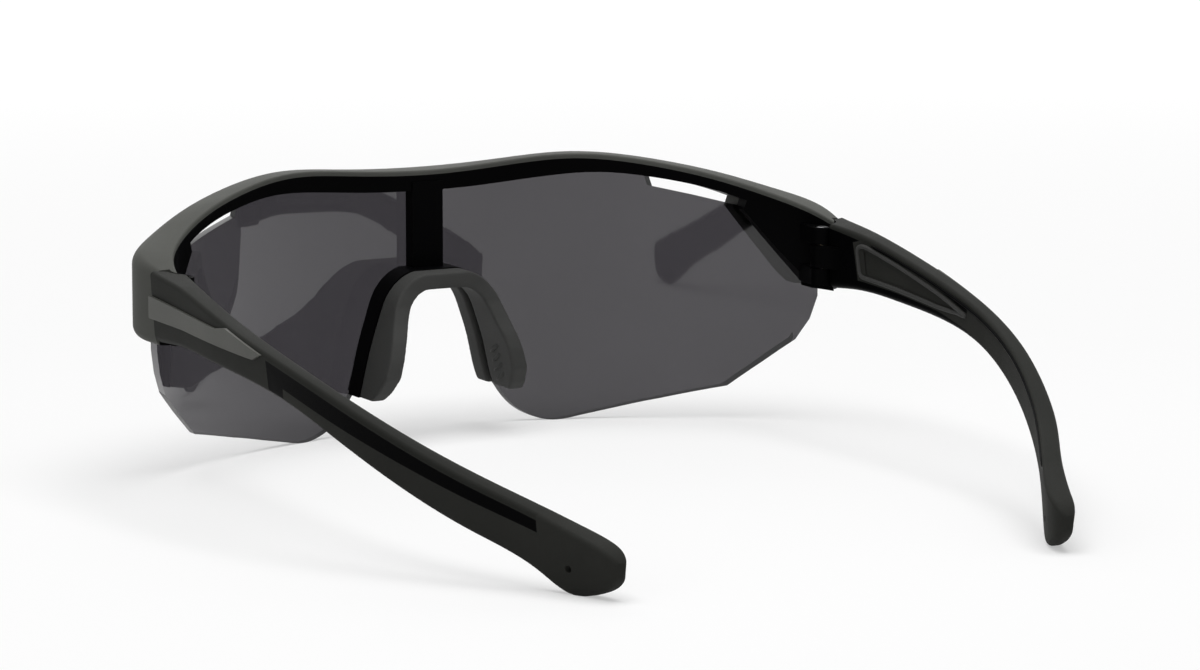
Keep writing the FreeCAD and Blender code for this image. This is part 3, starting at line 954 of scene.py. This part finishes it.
# ---------------------------------------------------------------------------------------------
# Studio
# ---------------------------------------------------------------------------------------------
@dataclass(frozen=True)
class SoftLamp:
    """A soft rectangular lamp: where it stands and what it faces, in millimetres, and its watts."""

    name: str
    place: tuple[float, float, float]
    target: tuple[float, float, float]
    size: tuple[float, float]
    watts: float

    def build(self) -> None:
        """Add the lamp to the scene."""
        data = bpy.data.lights.new(self.name, "AREA")
        data.shape = "RECTANGLE"
        data.size, data.size_y = mm(*self.size)
        data.energy = self.watts
        lamp = bpy.data.objects.new(self.name, data)
        facing = (mm(*self.target) - mm(*self.place)).to_track_quat("-Z", "Y").to_matrix()
        lamp.matrix_world = Matrix.Translation(mm(*self.place)) @ facing.to_4x4()
        bpy.context.scene.collection.objects.link(lamp)


@dataclass
class Studio:
    """Camera, soft lights, white surroundings and a plain floor."""

    azimuth: float = 151.997
    elevation: float = 9.329
    eye: tuple[float, float, float] = (503.1, 939.5, 204.0)
    focal: float = 184.4
    sight: tuple[float, float] = (10.0, 50000.0)
    sky_light: float = 0.25
    floor_size: float = 6000.0
    floor_shade: Colour = (0.86, 0.86, 0.86)
    floor_lift: tuple[float, float] = (0.4, 1.0)
    floor_reach: tuple[float, float] = (200.0, 750.0)
    floor_glow: float = 1.06
    lamps: tuple[SoftLamp, ...] = (
        SoftLamp("overhead", (0, 60, 900), (0, 0, 20), (1000, 800), watts=8.4),
        SoftLamp("side_fill", (900, 500, 350), (0, 20, 30), (500, 500), watts=0.7),
        SoftLamp("front_fill", (-300, -900, 500), (0, 0, 30), (700, 500), watts=1.2))

    def camera(self) -> None:
        """Place the camera and make it the scene's."""
        turn, rise = math.radians(self.azimuth), math.radians(self.elevation)
        back = Vector((math.sin(turn) * math.cos(rise), -math.cos(turn) * math.cos(rise),
                       math.sin(rise)))
        right = Vector((0, 0, 1)).cross(back).normalized()
        up = back.cross(right)
        place = Matrix((right, up, back)).transposed().to_4x4()
        place.translation = mm(*self.eye)
        data = bpy.data.cameras.new("camera")
        data.lens = self.focal
        data.clip_start, data.clip_end = mm(*self.sight)
        camera = bpy.data.objects.new("camera", data)
        camera.matrix_world = place
        bpy.context.scene.collection.objects.link(camera)
        bpy.context.scene.camera = camera

    def seen_directly(self, sketch: NodeSketch) -> bpy.types.NodeSocket:
        """Tell the rays of the eye, and those through or off glossy surfaces, from the rest.

        Args:
            sketch: The node tree that asks.

        Returns:
            The socket that is 1 for those rays.
        """
        path = sketch.add("LightPath")
        first = sketch.add("Math", {0: path.outputs["Is Camera Ray"],
                                    1: path.outputs["Is Transmission Ray"]}, operation="MAXIMUM")
        both = sketch.add("Math", {0: first.outputs[0], 1: path.outputs["Is Glossy Ray"]},
                          operation="MAXIMUM")
        return both.outputs[0]

    def surroundings(self) -> None:
        """Make the world white to the eye and a calm grey to the lighting."""
        sketch = NodeSketch(bpy.data.worlds.new("surroundings"))
        lighting, white = (sketch.add("Background", {"Color": (1, 1, 1, 1), "Strength": strength})
                           for strength in (self.sky_light, 1.0))
        mix = sketch.add("MixShader", {0: self.seen_directly(sketch), 1: lighting.outputs[0],
                                       2: white.outputs[0]})
        bpy.context.scene.world = sketch.finish(mix)

    def floor(self) -> None:
        """Lay a plain white floor that keeps soft shadows and turns to glowing white far away."""
        sketch = NodeSketch(bpy.data.materials.new("floor_white"))
        matte = sketch.add("BsdfDiffuse", {"Color": (*self.floor_shade, 1)})
        glow = sketch.add("Emission", {"Color": (1, 1, 1, 1), "Strength": self.floor_glow})
        away = sketch.add("VectorMath", {0: sketch.add("TexCoord").outputs["Object"]},
                          operation="LENGTH")
        near, far = (reach * MILLIMETRE for reach in self.floor_reach)
        share = sketch.add("MapRange", {"Value": away.outputs["Value"], "From Min": near,
                                        "From Max": far, "To Min": self.floor_lift[0],
                                        "To Max": self.floor_lift[1]})
        lift = sketch.add("Math", {0: self.seen_directly(sketch), 1: share.outputs[0]},
                          operation="MULTIPLY")
        mix = sketch.add("MixShader", {0: lift.outputs[0], 1: matte.outputs[0],
                                       2: glow.outputs[0]})
        half = self.floor_size / 2
        mesh = bpy.data.meshes.new("floor")
        corners = [mm(x, y, 0) for x, y in ((-half, -half), (half, -half), (half, half),
                                            (-half, half))]
        mesh.from_pydata(corners, [], [(0, 1, 2, 3)])
        new_piece("floor", mesh, sketch.finish(mix))

    def build(self) -> None:
        """Set up everything around the object."""
        bpy.context.scene.view_settings.view_transform = "Standard"
        self.camera()
        self.surroundings()
        self.floor()
        for lamp in self.lamps:
            lamp.build()


def main() -> None:
    """Build every piece in order and report it."""
    logging.basicConfig(level=logging.INFO, format="%(name)s: %(message)s")
    finishes = make_finishes()
    nose_finishes = own_finishes(finishes, Slot.RUBBER, NOSE_RUBBER)
    # The temples take the darker copy of the graphite, which is painted shade.
    temple_painted_shade_finishes = own_finishes(finishes, Slot.GRAPHITE, PAINTED_SHADE_GRAPHITE)
    Studio().build()
    Moulding("brow_frame", Body.FRONT, Slot.GRAPHITE).build(finishes)
    Moulding("lens_carrier", Body.FRONT, Slot.BLACK).build(finishes)
    Moulding("shield_lens", Body.FRONT, Slot.LENS, edge_break=0.0).build(finishes)
    Moulding("nose_bracket", Body.FRONT, Slot.BLACK).build(finishes)
    scatter = Scatter("scatter")
    NosePad().build(scatter, nose_finishes)
    HingeScrews().build(scatter, finishes)
    for side, body in (("left", Body.LEFT), ("right", Body.RIGHT)):
        Moulding(f"temple_shell_{side}", body, Slot.GRAPHITE).build(temple_painted_shade_finishes)
        Moulding(f"temple_core_{side}", body, Slot.BLACK).build(temple_painted_shade_finishes)
        Moulding(f"temple_grip_{side}", body, Slot.RUBBER, edge_break=0.2).build(temple_painted_shade_finishes)
        Moulding(f"temple_accent_{side}", body, Slot.ACCENT).build(temple_painted_shade_finishes)
        PadRim(side, body).build(nose_finishes)
        PartingLine(side, body).build(finishes)
        Moulding(f"hinge_nut_{side}", Body.FRONT, Slot.STEEL, edge_break=0.0).build(finishes)
        Moulding(f"hinge_bush_{side}", body, Slot.BRASS, edge_break=0.0).build(finishes)


if __name__ == "__main__":
    main()
